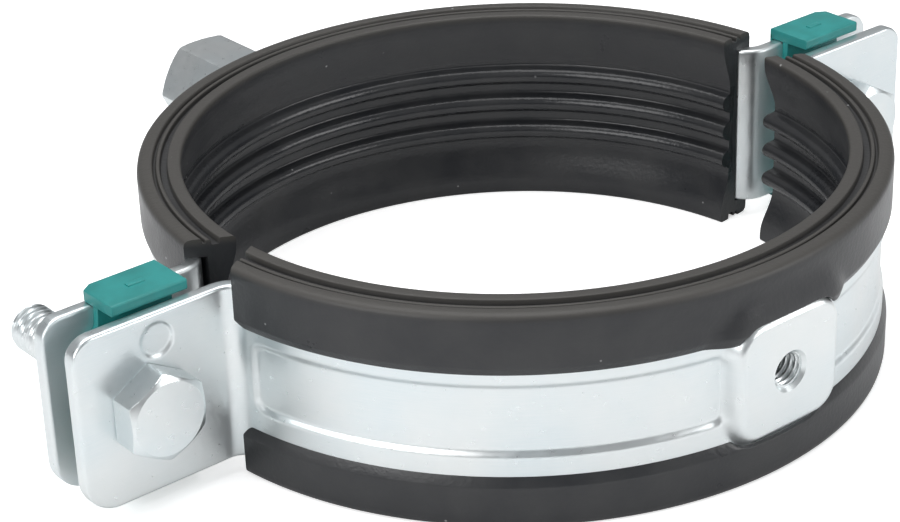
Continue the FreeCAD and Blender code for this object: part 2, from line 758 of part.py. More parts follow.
for item in doc.Objects:
    if "Invalid" in item.State or "Error" in item.State:
        raise RuntimeError("%s is %s" % (item.Name, item.State))
for body in bodies:
    shape = body.Shape
    if shape.isNull() or not shape.isValid() or len(shape.Solids) != 1:
        raise RuntimeError("%s is not one valid solid" % body.Label)
for body in bodies:
    body.Shape.exportStep("parts/%s.step" % body.Label)
    box = body.Shape.BoundBox
    print("%-15s %9.1f mm3  x %.2f %.2f  y %.2f %.2f  z %.2f %.2f" % (
        body.Label, body.Shape.Volume, box.XMin, box.XMax, box.YMin, box.YMax, box.ZMin, box.ZMax))
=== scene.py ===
# %% [markdown]
# # A two-screw pipe clamp with a rubber lining
# Two half bands of zinc-plated strip are drawn together by two hex bolts round a pipe. A rubber
# half ring is hooked over the edges of each band. A teal plastic clip sits on each rear ear, and
# a long nut is welded to the back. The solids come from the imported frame; this file gives each
# piece its rounded edges, threads, pressed panels and finish, in the same frame. Lengths are
# written in millimetres and become metres when a mesh is made.

import math

import bpy
import numpy as np
from mathutils import Matrix, Vector


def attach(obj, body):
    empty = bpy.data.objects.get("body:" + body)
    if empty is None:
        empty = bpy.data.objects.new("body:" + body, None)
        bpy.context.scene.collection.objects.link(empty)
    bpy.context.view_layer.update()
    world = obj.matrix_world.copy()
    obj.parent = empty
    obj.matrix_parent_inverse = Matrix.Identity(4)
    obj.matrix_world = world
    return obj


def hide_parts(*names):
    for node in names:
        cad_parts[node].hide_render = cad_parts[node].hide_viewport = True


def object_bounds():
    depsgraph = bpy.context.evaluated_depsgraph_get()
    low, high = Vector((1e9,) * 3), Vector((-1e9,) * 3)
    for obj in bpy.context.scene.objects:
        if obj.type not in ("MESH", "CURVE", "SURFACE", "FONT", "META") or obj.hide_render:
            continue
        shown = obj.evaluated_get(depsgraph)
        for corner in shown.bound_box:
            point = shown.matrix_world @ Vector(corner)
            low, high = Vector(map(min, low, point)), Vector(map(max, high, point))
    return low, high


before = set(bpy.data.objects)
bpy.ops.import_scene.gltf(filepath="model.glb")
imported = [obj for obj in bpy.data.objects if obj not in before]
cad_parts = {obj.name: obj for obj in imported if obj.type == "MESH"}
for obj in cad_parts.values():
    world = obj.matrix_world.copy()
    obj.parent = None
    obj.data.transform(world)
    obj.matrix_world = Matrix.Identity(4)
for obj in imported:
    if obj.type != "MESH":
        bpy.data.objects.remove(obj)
cad_low, cad_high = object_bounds()
MM = 0.001
print("nodes:", ", ".join(sorted(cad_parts)))

# %% [markdown]
# ## Sizes
# These follow the solids, in millimetres: the bore's axis is Z, the ears lie along X and the
# front half is on the -Y side. Each shape below is worked out from them. A panel's middle is an
# angle from the pad in degrees, and the panels are a little longer than the solids' own, as they
# look in the photograph. A pair of lip heights says where a rubber lip ends on its outside and
# against the steel. EDGE is the round on the strip's edges. FACE_ROWS counts the rows over the
# strip's outer face, and ROUND the points round a bolt or a nut.

# %% Sizes in millimetres
BAND_OUT, STRIP, HALF_WIDTH = 61.5, 2.5, 15.0
EAR_NEAR, EAR_END, UPPER_CORNER, LOWER_CORNER, BEND = 3.0, 90.0, 4.0, 6.0, 3.0
BOLT_X, BOLT_HOLE, TAPPED_HOLE = 77.5, 4.5, 4.05
PAD_FACE, PAD_HALF_LENGTH, PAD_HALF_HEIGHT, PAD_CORNER = 63.3, 9.9, 9.35, 4.0
PANEL_MIDDLE, PANEL_HALF_LENGTH, PANEL_HALF_HEIGHT, PANEL_CORNER = 46.0, 38.2, 5.7, 2.2
PANEL_DEPTH, DIMPLE_DEPTH, DIMPLE_X, DIMPLE_Z = 0.6, 0.35, -75.3, 10.5
LINER_OUT, LINER_HALF, RIM_IN, FLOOR, CREST = 62.3, 18.1, 55.0, 57.0, 55.0
UPPER_LIP, LOWER_LIP = (9.3, 7.8), (11.1, 9.4)
EDGE = 0.6
FACE_ROWS, ROUND = 95, 96
print("bore %.1f mm, over the ears %.1f mm" % (2 * RIM_IN, 2 * EAR_END))

# %% [markdown]
# ## From arrays to pieces
# Every piece below is made of grids of points: one direction runs along the shape and the other
# round its section. A loop that closes on itself needs no last row, and an open end gets one
# flat face. The signed volume of the finished shell says whether its faces point outwards, so a
# shape that came out inside out is turned by reversing its faces.

# %% Grid helpers
def grid_faces(rows, columns, wrap_rows=False):
    """Four-sided faces of a grid; index = row * columns + column, wrapped round each row."""
    row = np.arange(rows if wrap_rows else rows - 1)[:, None]
    column = np.arange(columns)[None, :]
    next_row, next_column = (row + 1) % rows, (column + 1) % columns
    corners = [row * columns + column, row * columns + next_column,
               next_row * columns + next_column, next_row * columns + column]
    return np.stack(np.broadcast_arrays(*corners), axis=-1).reshape(-1, 4)


def end_faces(rows, columns):
    """Flat faces over the first and the last row, turned as the grid's own faces are."""
    return [np.arange(columns)[::-1], (rows - 1) * columns + np.arange(columns)]


def signed_volume(points, faces):
    """Sum of the pyramids from the origin to each face: positive when faces point outwards."""
    total = 0.0
    for face in faces:
        fan = np.asarray(face)
        if fan.ndim == 2:
            a, b, c, d = (points[fan[:, k]] for k in range(4))
            total += np.einsum("ij,ij->", a, np.cross(b, c)) + np.einsum("ij,ij->", a, np.cross(c, d))
        else:
            a, b, c = points[fan[0]][None], points[fan[1:-1]], points[fan[2:]]
            total += np.sum(a * np.cross(b, c))
    return total / 6


def make_piece(name, points, quads, ends=(), uv=None, sharp=35.0):
    """Mesh object from points in millimetres, four-sided faces and flat end faces."""
    points = np.asarray(points, float).reshape(-1, 3) * MM
    shells = [quads] + [np.asarray(end) for end in ends]
    if signed_volume(points, shells) < 0:
        quads = quads[:, ::-1]
        ends = [np.asarray(end)[::-1] for end in ends]
    mesh = bpy.data.meshes.new(name)
    faces = quads.tolist() + [np.asarray(end).tolist() for end in ends]
    mesh.from_pydata(points.tolist(), [], faces)
    if uv is not None:
        layer = mesh.uv_layers.new(name="along")
        loops = np.empty(len(mesh.loops), np.int32)
        mesh.loops.foreach_get("vertex_index", loops)
        layer.data.foreach_set("uv", np.asarray(uv, np.float32)[loops].ravel())
    mesh.polygons.foreach_set("use_smooth", np.ones(len(mesh.polygons), bool))
    mesh.validate()
    mesh.set_sharp_from_angle(angle=math.radians(sharp))
    piece = bpy.data.objects.new(name, mesh)
    bpy.context.scene.collection.objects.link(piece)
    return piece


def cut_by(piece, cutters, sharp=35.0):
    """Takes the cutters' shapes out of the piece for good, and removes the cutters."""
    for cutter in cutters:
        step = piece.modifiers.new("cut", "BOOLEAN")
        step.operation, step.solver, step.object = "DIFFERENCE", "EXACT", cutter
    seen = piece.evaluated_get(bpy.context.evaluated_depsgraph_get())
    mesh = bpy.data.meshes.new_from_object(seen)
    piece.modifiers.clear()
    piece.data = mesh
    mesh.name = piece.name
    mesh.set_sharp_from_angle(angle=math.radians(sharp))
    for cutter in cutters:
        bpy.data.objects.remove(cutter)


def smooth(value):
    """Soft step: 0 below 0, 1 above 1, and a smooth curve between."""
    value = np.clip(value, 0.0, 1.0)
    return value * value * (3 - 2 * value)


def rounded_box_distance(x, z, half_x, half_z, corner):
    """Distance to a rectangle with round corners, negative inside it."""
    gap_x = np.abs(x) - (half_x - corner)
    gap_z = np.abs(z) - (half_z - corner)
    outside = np.hypot(np.maximum(gap_x, 0), np.maximum(gap_z, 0))
    return outside + np.minimum(np.maximum(gap_x, gap_z), 0) - corner


# %% [markdown]
# ## The path of the strip
# A half band is one strip, bent: ear, bend, arc, bend, ear. Its middle line is straight, then an
# arc of small radius, then the long arc round the bore, and the same again. A point of the
# band is that line's point, plus a step along the line's normal (the strip's thickness) and a
# height z (its width). The columns stand closer together where a form needs it: at the ear's
# corners, its round dimple, the bends and the pad.

# %% Middle line of the strip
def strip_path():
    """Columns along the strip: centre line points, unit normals and the distance along it.

    Straight ear, bend of radius BEND + STRIP / 2 about a centre outside the band, long arc, and
    the same mirrored. The normal points away from the bore's axis, to -Y on the ears.
    """
    far = EAR_NEAR + STRIP
    dimple_from, dimple_to = 71.0, 79.5
    middle = BEND + STRIP / 2
    centre_y = -(far + BEND)
    centre_x = math.sqrt((BAND_OUT + BEND) ** 2 - centre_y ** 2)
    ring = BAND_OUT - STRIP / 2
    touch = math.atan2(-centre_y, centre_x)
    ear_x = np.concatenate([
        EAR_END - LOWER_CORNER + LOWER_CORNER * np.sin(np.linspace(0, 1, 40) * np.pi / 2) * 0.999,
        np.arange(dimple_to, EAR_END - LOWER_CORNER - 0.1, 0.8)[::-1],
        np.arange(dimple_from, dimple_to, 0.2)[::-1],
        np.arange(centre_x + 0.4, dimple_from, 0.8)[::-1]])
    ear_x = np.unique(ear_x)[::-1]
    last = EAR_END - EDGE + EDGE * np.sin(np.linspace(0, 1, 7) * np.pi / 2)
    ear_x = np.concatenate([last[::-1], ear_x[ear_x < EAR_END - EDGE - 0.02]])
    ear = np.stack([-ear_x, np.full_like(ear_x, -(EAR_NEAR + STRIP / 2))], 1)
    ear_normal = np.tile([0.0, -1.0], (len(ear), 1))
    sweep = np.linspace(np.pi / 2, touch, 16)
    bend = np.stack([-centre_x + middle * np.cos(sweep), centre_y + middle * np.sin(sweep)], 1)
    bend_normal = -np.stack([np.cos(sweep), np.sin(sweep)], 1)
    near_pad = np.radians(np.arange(-14.0, 14.01, 0.3))
    far_side = np.radians(np.arange(14.3, 90 - math.degrees(touch) - 0.2, 0.55))
    angle = np.concatenate([-far_side[::-1], near_pad, far_side])
    arc_normal = np.stack([np.sin(angle), -np.cos(angle)], 1)
    arc = ring * arc_normal
    flip = np.array([-1.0, 1.0])
    points = np.concatenate([ear, bend, arc, (bend * flip)[::-1], (ear * flip)[::-1]])
    normals = np.concatenate([ear_normal, bend_normal, arc_normal,
                              (bend_normal * flip)[::-1], (ear_normal * flip)[::-1]])
    along = np.concatenate([[0], np.cumsum(np.hypot(*np.diff(points, axis=0).T))])
    return points, normals, along


path_points, path_normals, path_along = strip_path()
print("strip: %d columns, %.1f mm long" % (len(path_along), path_along[-1]))


# %% [markdown]
# ## The half bands
# Pressing leaves two long panels a little lower than the strip and a flat pad in the middle. A
# press gives no sharp edges, so each form is a soft step over the distance to its outline: the
# panels sink 0.6 mm over about a millimetre, and the pad rises to one flat plane over its
# sloped sides. The ears' corners come from narrowing the section towards the free end. Holes
# are cut last, because a round hole doesn't follow a grid.

# %% Half band
def strip_section():
    """Loop round the strip's section: offset along the normal and height, in millimetres.

    The outer face has fine rows, for the pressed forms; the inner face has few. Each narrow
    edge between them is flat in its middle, with a quarter circle of radius EDGE on both sides.
    """
    inner_rows = 12
    quarter = np.linspace(0, np.pi / 2, 5)[1:-1]
    flat = HALF_WIDTH - EDGE
    thick = STRIP / 2
    outer_z = np.linspace(-flat, flat, FACE_ROWS)
    inner_z = np.linspace(flat, -flat, inner_rows)
    edge_n = np.linspace(thick - EDGE, -(thick - EDGE), 4)
    turn = EDGE * np.sin(quarter), EDGE * (1 - np.cos(quarter))
    n = np.concatenate([np.full(FACE_ROWS, thick), thick - turn[1], edge_n,
                        -(thick - EDGE) - turn[0], np.full(inner_rows, -thick),
                        -thick + turn[1], edge_n[::-1], thick - EDGE + turn[0]])
    z = np.concatenate([outer_z, flat + turn[0], np.full(4, HALF_WIDTH),
                        HALF_WIDTH - turn[1], inner_z,
                        -flat - turn[0], np.full(4, -HALF_WIDTH), -HALF_WIDTH + turn[1]])
    return n, z


def pad_form(angle, z):
    """Distance to the pad's outline, and how far its plane stands above the round strip."""
    outline = rounded_box_distance(BAND_OUT * np.sin(angle), z,
                                   PAD_HALF_LENGTH, PAD_HALF_HEIGHT, PAD_CORNER)
    return outline, PAD_FACE / np.cos(np.clip(angle, -0.5, 0.5)) - BAND_OUT


def pressed_relief(x, y, z, dimple):
    """How far the outer face stands above the plain strip, in millimetres.

    Two panels with round corners go down by PANEL_DEPTH; the pad goes up to the plane PAD_FACE
    from the axis; the dimple on the left ear goes down a little.
    """
    angle = np.arctan2(x, -y)
    on_arc = np.hypot(x, y) < BAND_OUT + 1.0
    around = np.abs(angle) * BAND_OUT
    panel = rounded_box_distance(around - math.radians(PANEL_MIDDLE) * BAND_OUT, z,
                                 PANEL_HALF_LENGTH, PANEL_HALF_HEIGHT, PANEL_CORNER)
    sink = PANEL_DEPTH * (1 - smooth((panel + 0.6) / 1.3))
    pad, flat = pad_form(angle, z)
    rise = 1 - smooth((pad + 0.5) / 2.5)
    form = -sink * (1 - rise) + flat * rise
    mark = np.hypot(x - DIMPLE_X, z - DIMPLE_Z)
    low = -DIMPLE_DEPTH * (1 - smooth((mark - 2.4) / 0.7)) if dimple else 0.0
    return np.where(on_arc, form, low)


def make_band(name, front):
    """Half band: the section carried along the path, with the pressed forms on its face."""
    n, z = strip_section()
    columns, rows = len(path_along), len(n)
    reach = np.abs(path_points[:, 0])
    end = np.clip((reach - (EAR_END - EDGE)) / EDGE, 0, 1)
    inset = EDGE * (1 - np.sqrt(1 - end ** 2))
    limits = []
    for corner in (UPPER_CORNER, LOWER_CORNER):
        into = np.clip((reach - (EAR_END - corner)) / corner, 0, 1)
        limits.append(HALF_WIDTH - corner * (1 - np.sqrt(1 - into ** 2)) - inset)
    upper, lower = limits
    n = n[None, :] * ((STRIP / 2 - inset) / (STRIP / 2))[:, None]
    z = (upper - lower)[:, None] / 2 + z[None, :] * ((upper + lower) / 2 / HALF_WIDTH)[:, None]
    x = path_points[:, :1] + path_normals[:, :1] * n
    y = path_points[:, 1:] + path_normals[:, 1:] * n
    face = np.zeros(rows)
    face[:FACE_ROWS] = 1.0
    lift = pressed_relief(x, y, z, front) * face[None, :]
    x = x + path_normals[:, :1] * lift
    y = y + path_normals[:, 1:] * lift
    turn = 1.0 if front else -1.0
    points = np.stack([x * turn, y * turn, z], -1).reshape(-1, 3)
    uv = np.stack([np.broadcast_to(path_along[:, None], z.shape) * 0.01, z * 0.01], -1)
    piece = make_piece(name, points, grid_faces(columns, rows), end_faces(columns, rows),
                       uv.reshape(-1, 2))
    print(name, "faces", len(piece.data.polygons))
    return piece


# %% [markdown]
# ## Round cutters
# A hole is cut with a turned shape along Y: its radius at each step along the axis. The cones
# at its ends break the hole's edges, as a countersink does.

# %% Turned shapes along Y
def rings(x, y, radius, angle):
    """Points of rings about the line along Y through x: (x + r sin angle, y, r cos angle)."""
    return np.stack([x + radius * np.sin(angle), np.repeat(y[:, None], len(angle), 1),
                     radius * np.cos(angle)], -1).reshape(-1, 3)


def turned_shape(name, x, profile, columns=64):
    """Surface of revolution about a line along Y through x: pairs of y and radius."""
    y, radius = np.array(profile, float).T
    angle = np.linspace(0, 2 * np.pi, columns, endpoint=False)
    points = rings(x, y, radius[:, None], angle)
    return make_piece(name, points, grid_faces(len(y), columns), end_faces(len(y), columns))


def ear_cutter(x, front, radius):
    """Cutter for an ear's hole with its two edges broken by 0.2 mm."""
    near, far = EAR_NEAR, EAR_NEAR + STRIP
    wide = radius + 1.2
    profile = [(near - 1, wide), (near + 0.2, radius), (far - 0.2, radius), (far + 1, wide)]
    sign = -1.0 if front else 1.0
    return turned_shape("cutter", x, [(sign * y, r) for y, r in profile])


front_band = make_band("front_band_steel", True)
pad_cutter = turned_shape("cutter", 0, [(-54, 2.95), (-62.75, 2.95), (-63.8, 4.0)])
cut_by(front_band, [ear_cutter(side * BOLT_X, True, BOLT_HOLE) for side in (-1, 1)] + [pad_cutter])
rear_band = make_band("rear_band_steel", False)
cut_by(rear_band, [ear_cutter(side * BOLT_X, False, TAPPED_HOLE) for side in (-1, 1)])


# %% [markdown]
# ## The rubber half rings
# The lining is an extruded profile, cut to length and bent round the band: hooked lips outside,
# grooved rims, walls that slope down from them, and three round ribs inside that grip the pipe.
# The profile is one closed line. Its corners are softened by a parabola that leaves each side a
# little before the corner. Each end is cut with a slanted knife stroke, so the angle at which
# the rubber ends depends on the radius: the formula solves where a circle of that radius meets
# the cut's line.

# %% Rubber half ring
def soften_corners(corners, reach, steps=4):
    """Closed outline whose corners are parabolas starting a given distance before each corner."""
    corners = np.asarray(corners, float)
    to_last = np.roll(corners, 1, axis=0) - corners
    to_next = np.roll(corners, -1, axis=0) - corners
    last_length = np.hypot(*to_last.T)
    next_length = np.hypot(*to_next.T)
    reach = np.minimum(reach, 0.48 * np.minimum(last_length, next_length))[:, None]
    start = corners + to_last / last_length[:, None] * reach
    stop = corners + to_next / next_length[:, None] * reach
    k = np.linspace(0, 1, steps)[None, :, None]
    curve = (1 - k) ** 2 * start[:, None] + 2 * k * (1 - k) * corners[:, None] + k ** 2 * stop[:, None]
    return curve.reshape(-1, 2)


def split_long(outline, limit):
    """Closed outline with evenly spaced extra points on each side longer than the limit."""
    ahead = np.roll(outline, -1, axis=0)
    parts = np.ceil(np.hypot(*(ahead - outline).T) / limit).astype(int)
    start = np.repeat(np.arange(len(outline)), parts)
    step = np.arange(len(start)) - np.repeat(np.cumsum(parts) - parts, parts)
    share = (step / parts[start])[:, None]
    return outline[start] * (1 - share) + ahead[start] * share


def rubber_profile():
    """Closed outline of the section as radius and height: ribs, upper hook, lower hook.

    Each corner is written with a third number, the reach of its softening. A rib is an arc of
    bead_radius on its foot; a wall rises from the floor to the rim as a smooth step.
    """
    bead_radius, spacing = 1.6, 5.6
    swing = np.radians(np.linspace(-78, 78, 9))
    bead = np.column_stack([CREST + bead_radius * (1 - np.cos(swing)), bead_radius * np.sin(swing),
                            np.full(9, 0.3)])
    foot = np.array([[FLOOR, 1.85, 0.45]])
    rib = np.concatenate([foot * [1, -1, 1], bead, foot])
    ribs = np.concatenate([rib + [0, middle, 0] for middle in (-spacing, 0.0, spacing)])
    top = LINER_HALF

    k = np.linspace(0, 1, 8)
    wall = np.column_stack([FLOOR - (FLOOR - RIM_IN) * smooth(k), 8.0 + (top - 9.5) * k,
                            np.full(8, 0.4)])

    def hook(lip_full, lip_steel, corner):
        """Wall, grooved rim, outer corner, lip and the slot that takes the strip's edge."""
        return np.concatenate([wall, [
            (RIM_IN, top, 0.5),
            (LINER_OUT - 5.1, top, 0.2), (LINER_OUT - 5.0, top - 1.1, 0.2),
            (LINER_OUT - 3.9, top - 1.1, 0.2), (LINER_OUT - 3.8, top - 0.25, 0.2),
            (LINER_OUT - 3.2, top - 0.25, 0.2), (LINER_OUT - 3.1, top - 0.85, 0.15),
            (LINER_OUT - 2.7, top - 0.85, 0.15), (LINER_OUT - 2.55, top, 0.25),
            (LINER_OUT, top, corner), (LINER_OUT, lip_full, 0.25), (BAND_OUT, lip_steel, 0.15),
            (BAND_OUT, HALF_WIDTH, 0.1), (BAND_OUT - STRIP, HALF_WIDTH, 0.1)]])

    upper = hook(*UPPER_LIP, 1.6)
    lower = hook(*LOWER_LIP, 2.6) * [1, -1, 1]
    corners = np.concatenate([ribs, upper, lower[::-1]])
    return split_long(soften_corners(corners[:, :2], corners[:, 2]), 1.1)


def end_angle(radius, reach, slope):
    """Angle from the ears' plane at which a circle meets the slanted cut.

    The cut is the line y = reach - slope * (outer radius - x); a circle's point is
    (radius cos, radius sin), which gives a sine of the angle less the slope's own angle.
    """
    level = (reach - slope * LINER_OUT) / (radius * math.hypot(1, slope))
    return math.atan(slope) + np.arcsin(level)


def lips_at_pad(angle, radius, height):
    """Lips of the rubber where the pad pushes them up and out: new radius and height.

    Each lip's edge keeps a little clear of the pad's outline, whose round corners stand at the
    half sizes less the corner radius. The lip is squeezed towards the strip's edge to make that
    room, and the upper one swells out softly over the pad's slope.
    """
    lip = (radius > BAND_OUT - 0.1) & (np.abs(height) < HALF_WIDTH)
    share = np.clip((radius - BAND_OUT) / (LINER_OUT - BAND_OUT), 0, 1)
    above = height > 0
    edge = np.where(above, UPPER_LIP[1], LOWER_LIP[1])
    edge = edge + share * np.where(above, UPPER_LIP[0] - UPPER_LIP[1], LOWER_LIP[0] - LOWER_LIP[1])
    corner = PAD_CORNER + np.where(above, 0.6, 1.85)
    straight = PAD_HALF_LENGTH - PAD_CORNER
    around = np.clip(np.abs(BAND_OUT * np.cos(angle)) - straight, 0, corner)
    bow = np.sqrt(corner ** 2 - around ** 2)
    wanted = np.maximum(edge, PAD_HALF_HEIGHT - PAD_CORNER + bow + 0.2 * share)
    squeeze = (HALF_WIDTH - wanted) / (HALF_WIDTH - edge)
    size = np.where(lip, HALF_WIDTH - (HALF_WIDTH - np.abs(height)) * squeeze, np.abs(height))
    height = np.sign(height) * size
    pad, flat = pad_form(angle - np.pi / 2, height)
    swell = 0.62 * flat * (1 - smooth((pad - 0.6) / 5.4))
    return radius + np.where((radius > BAND_OUT - 0.1) & above, swell, 0.0), height


def make_liner(name, front, left, right):
    """Rubber half ring: the profile carried round the bore between its two slanted cuts.

    A cut is a pair of reach and slope. The columns are closer together at the pad.
    """
    profile = rubber_profile()
    radius, height = profile.T
    first = end_angle(radius, *left)
    last = np.pi - end_angle(radius, *right)
    share = np.concatenate([np.linspace(0, 0.42, 90), np.linspace(0.421, 0.579, 70),
                            np.linspace(0.58, 1, 90)])[:, None]
    angle = first + (last - first) * share
    turn = 1.0 if front else -1.0
    radius, height = lips_at_pad(angle, *np.broadcast_arrays(radius, height, angle)[:2])
    points = np.stack([-radius * np.cos(angle) * turn, -radius * np.sin(angle) * turn,
                       height], -1).reshape(-1, 3)
    rows, columns = len(profile), len(share)
    piece = make_piece(name, points, grid_faces(columns, rows), end_faces(columns, rows), sharp=50.0)
    print(name, "faces", len(piece.data.polygons))
    return piece


front_liner = make_liner("front_liner_rubber", True, (6.5, 0.58), (9.0, 0.58))
rear_liner = make_liner("rear_liner_rubber", False, (6.0, 0.1), (6.3, 0.58))


# %% [markdown]
# ## Threads
# A screw thread is a surface where the radius depends on how far the point has come along one
# turn: the axial position in pitches, less the angle in turns. Its fraction runs from 0 to 1
# across one thread, and the radius goes from crest to root and back as two soft steps. The same
# formula gives the thread inside a nut. A positive turn about +Y carries such a thread along
# +Y, as a right-hand bolt goes in.

# %% Thread radius
def thread_radius(y, angle, outer, depth, pitch):
    """Radius on a thread: round crest, flank down, round root, flank up."""
    part = np.mod(y / pitch - angle / (2 * np.pi), 1.0)
    wave = np.abs(part - 0.5) * 2
    return outer - depth * smooth((wave - 0.1) / 0.8)


def hexagon_radius(angle, flats, offset):
    """Radius of a hexagon whose corner lies at the offset angle, its corners a little blunt."""
    sector = np.mod(angle - offset, np.pi / 3) - np.pi / 6
    return np.minimum(flats / 2 / np.cos(sector), flats / math.sqrt(3) - 0.12)


# %% [markdown]
# ## The bolts
# A hot-formed hexagon head has its corners turned off to a shallow cone, which leaves round
# bows on its six sides. Taking the smaller of the hexagon's radius and the cone's radius gives
# exactly those bows. The shank is threaded nearly to the head and ends in a chamfer.

# %% Hex bolt
def make_bolt(name, x):
    """M8 bolt along +Y: flat top, cone, hexagon, underside, shank with thread, point."""
    flats, head_height, length, crown = 13.0, 5.3, 35.0, 6.05
    shank_radius, depth, pitch = 3.97, 0.42, 1.25
    seat = -(EAR_NEAR + STRIP)
    top, end = seat - head_height, seat + length
    angle = np.linspace(0, 2 * np.pi, ROUND, endpoint=False)
    head_y = np.concatenate([np.full(6, top), top + np.linspace(0, 1.35, 14)[1:],
                             np.linspace(top + 1.6, seat - 0.25, 6), [seat]])
    cone = crown + (head_y - top) / math.tan(math.radians(30))
    limit = np.concatenate([np.linspace(0.02, 1, 6) * crown, cone[6:]])
    limit[-1] = cone[-2]
    hexagon = hexagon_radius(angle, flats, 0.0)
    head = np.minimum(hexagon[None, :], limit[:, None])
    head[-1] = np.minimum(head[-1], hexagon - 0.2)
    under_y = np.array([seat, seat])
    under = np.stack([np.full(ROUND, 4.6), np.full(ROUND, 4.0)])
    shank_y = np.concatenate([np.linspace(seat + 0.01, seat + 2.4, 8),
                              np.arange(seat + 2.5, end, 0.13), [end]])
    shank = thread_radius(shank_y[:, None], angle[None, :], shank_radius, depth, pitch)
    fade = smooth((shank_y - seat - 2.0) / 1.4)[:, None]
    shank = shank * fade + shank_radius * (1 - fade)
    shank = np.minimum(shank, 2.95 + (end - shank_y)[:, None])
    tip_y = np.array([end, end])
    tip = np.stack([np.full(ROUND, 1.5), np.full(ROUND, 0.02)])
    y = np.concatenate([head_y, under_y, shank_y, tip_y])
    radius = np.concatenate([head, under, shank, tip])
    points = rings(x, y, radius, angle)
    piece = make_piece(name, points, grid_faces(len(y), ROUND), end_faces(len(y), ROUND), sharp=22.0)
    print(name, "faces", len(piece.data.polygons))
    return piece


left_bolt = make_bolt("left_bolt_zinc", -BOLT_X)
right_bolt = make_bolt("right_bolt_zinc", BOLT_X)


# %% [markdown]
# ## The connecting nut
# A long M10 nut, flats up and down, welded with one end to the rear pad. Outside wall, end
# face, threaded bore and seat face make one closed loop, carried once round the axis, so the
# nut has no open end and needs no end face of its own.

# %% Long nut
def make_nut(name):
    """Loop of rings round Y: hexagon outside with a crowned end, thread inside."""
    flats, length, crown = 17.0, 30.0, 8.1
    bore_radius, depth, pitch = 5.0, 0.8, 1.5
    near, far = PAD_FACE, PAD_FACE + length
    angle = np.linspace(0, 2 * np.pi, ROUND, endpoint=False)
    hexagon = hexagon_radius(angle, flats, np.pi / 6)
    out_y = np.concatenate([[near], np.linspace(near + 0.2, far - 1.6, 8),
                            far - np.linspace(1.4, 0, 14)])
    limit = crown + (far - out_y) / math.tan(math.radians(32))
    outside = np.minimum(hexagon[None, :], limit[:, None])
    outside[0] = outside[0] - 0.2
    face_y = np.array([far, far])
    face = np.stack([np.full(ROUND, 6.6), np.full(ROUND, 5.15)])
    bore_y = np.arange(far - 0.05, near + 0.05, -0.18)
    bore = thread_radius(bore_y[:, None], angle[None, :], bore_radius, depth, pitch)
    bore = np.maximum(bore, 5.1 - (far - bore_y)[:, None] * 0.9)
    seat_y = np.array([near])
    seat = np.full((1, ROUND), bore_radius)
    y = np.concatenate([out_y, face_y, bore_y, seat_y])
    radius = np.concatenate([outside, face, bore, seat])
    points = rings(0, y, radius, angle)
    piece = make_piece(name, points, grid_faces(len(y), ROUND, wrap_rows=True), sharp=24.0)
    print(name, "faces", len(piece.data.polygons))
    return piece


connecting_nut = make_nut("connecting_nut_zinc")


# %% [markdown]
# ## The thread in the pad
# The pad's M6 hole shows its thread. A short threaded sleeve sits in the cut hole, its outside
# hidden in the steel. It is a closed loop like the nut.

# %% Threaded sleeve
def make_pad_thread(name):
    """Loop of rings round Y inside the pad: thread within, plain outside."""
    columns = 64
    angle = np.linspace(0, 2 * np.pi, columns, endpoint=False)
    inner_y = np.arange(-62.6, -58.9, 0.1)
    inner = thread_radius(inner_y[:, None], angle[None, :], 2.95, 0.45, 1.0)
    outer_y = np.array([-58.8, -62.6])
    outer = np.full((2, columns), 3.25)
    y = np.concatenate([inner_y, outer_y])
    radius = np.concatenate([inner, outer])
    points = rings(0, y, radius, angle)
    piece = make_piece(name, points, grid_faces(len(y), columns, wrap_rows=True), sharp=24.0)
    print(name, "faces", len(piece.data.polygons))
    return piece


pad_thread = make_pad_thread("front_band_thread")


# %% [markdown]
# ## The teal clips
# Each clip is moulded: a plate against the rear ear's inner face, and a cap over each of its two
# edges with a small hook behind. Caps, hooks and the small bar on top are outlines carried along
# the ear; the plate's outline is carried through its thickness. An outline's corners are
# softened as the rubber's are, and its ends are drawn in a little, which gives every edge the
# small radius of a moulding. Each cap's rear outer corner is slanted off.

# %% Moulded clip
def moulded(outline, start, stop, edge=0.18, slant=0.0, corner=0.42, along_y=False):
    """Outline in the YZ plane carried along X; its ends are drawn in over a quarter circle.

    A point near an end moves inwards along the outline's normal by edge * (1 - sin), so the
    end faces meet the sides in a round edge. Over the last millimetres the side behind the ear
    comes forward by the slant, which takes off the rear outer corner. With along_y, the outline
    lies in the XZ plane instead and is carried along Y.
    """
    outline = soften_corners(np.asarray(outline, float), corner, 5)
    ahead, behind = np.roll(outline, -1, axis=0), np.roll(outline, 1, axis=0)
    run = (ahead - behind) / np.hypot(*(ahead - behind).T)[:, None]
    y, z = outline.T
    turning = np.sign(np.sum(y * np.roll(z, -1) - np.roll(y, -1) * z))
    inward = np.column_stack([-run[:, 1], run[:, 0]]) * turning
    bow = np.linspace(0, np.pi / 2, 5)
    inset = edge * np.concatenate([1 - np.sin(bow), [0.0], (1 - np.sin(bow))[::-1]])
    way = edge * (1 - np.cos(bow)) * np.sign(stop - start)
    reach = min(1.8, abs(stop - start) / 2)
    bend = stop - reach * np.sign(stop - start)
    x = np.concatenate([start + way, [bend], (stop - way)[::-1]])
    loops = outline[None] + inward[None] * inset[:, None, None]
    late = np.clip(1 - np.abs(stop - x) / reach, 0, 1) * slant
    loops[:, :, 0] -= late[:, None] * (outline[None, :, 0] > EAR_NEAR + STRIP)
    rows, count = len(x), len(outline)
    points = np.concatenate([np.broadcast_to(x[:, None, None], (rows, count, 1)), loops], -1)
    if along_y:
        points = points[..., [1, 0, 2]]
    return make_piece("part", points, grid_faces(rows, count), end_faces(rows, count), sharp=50.0)


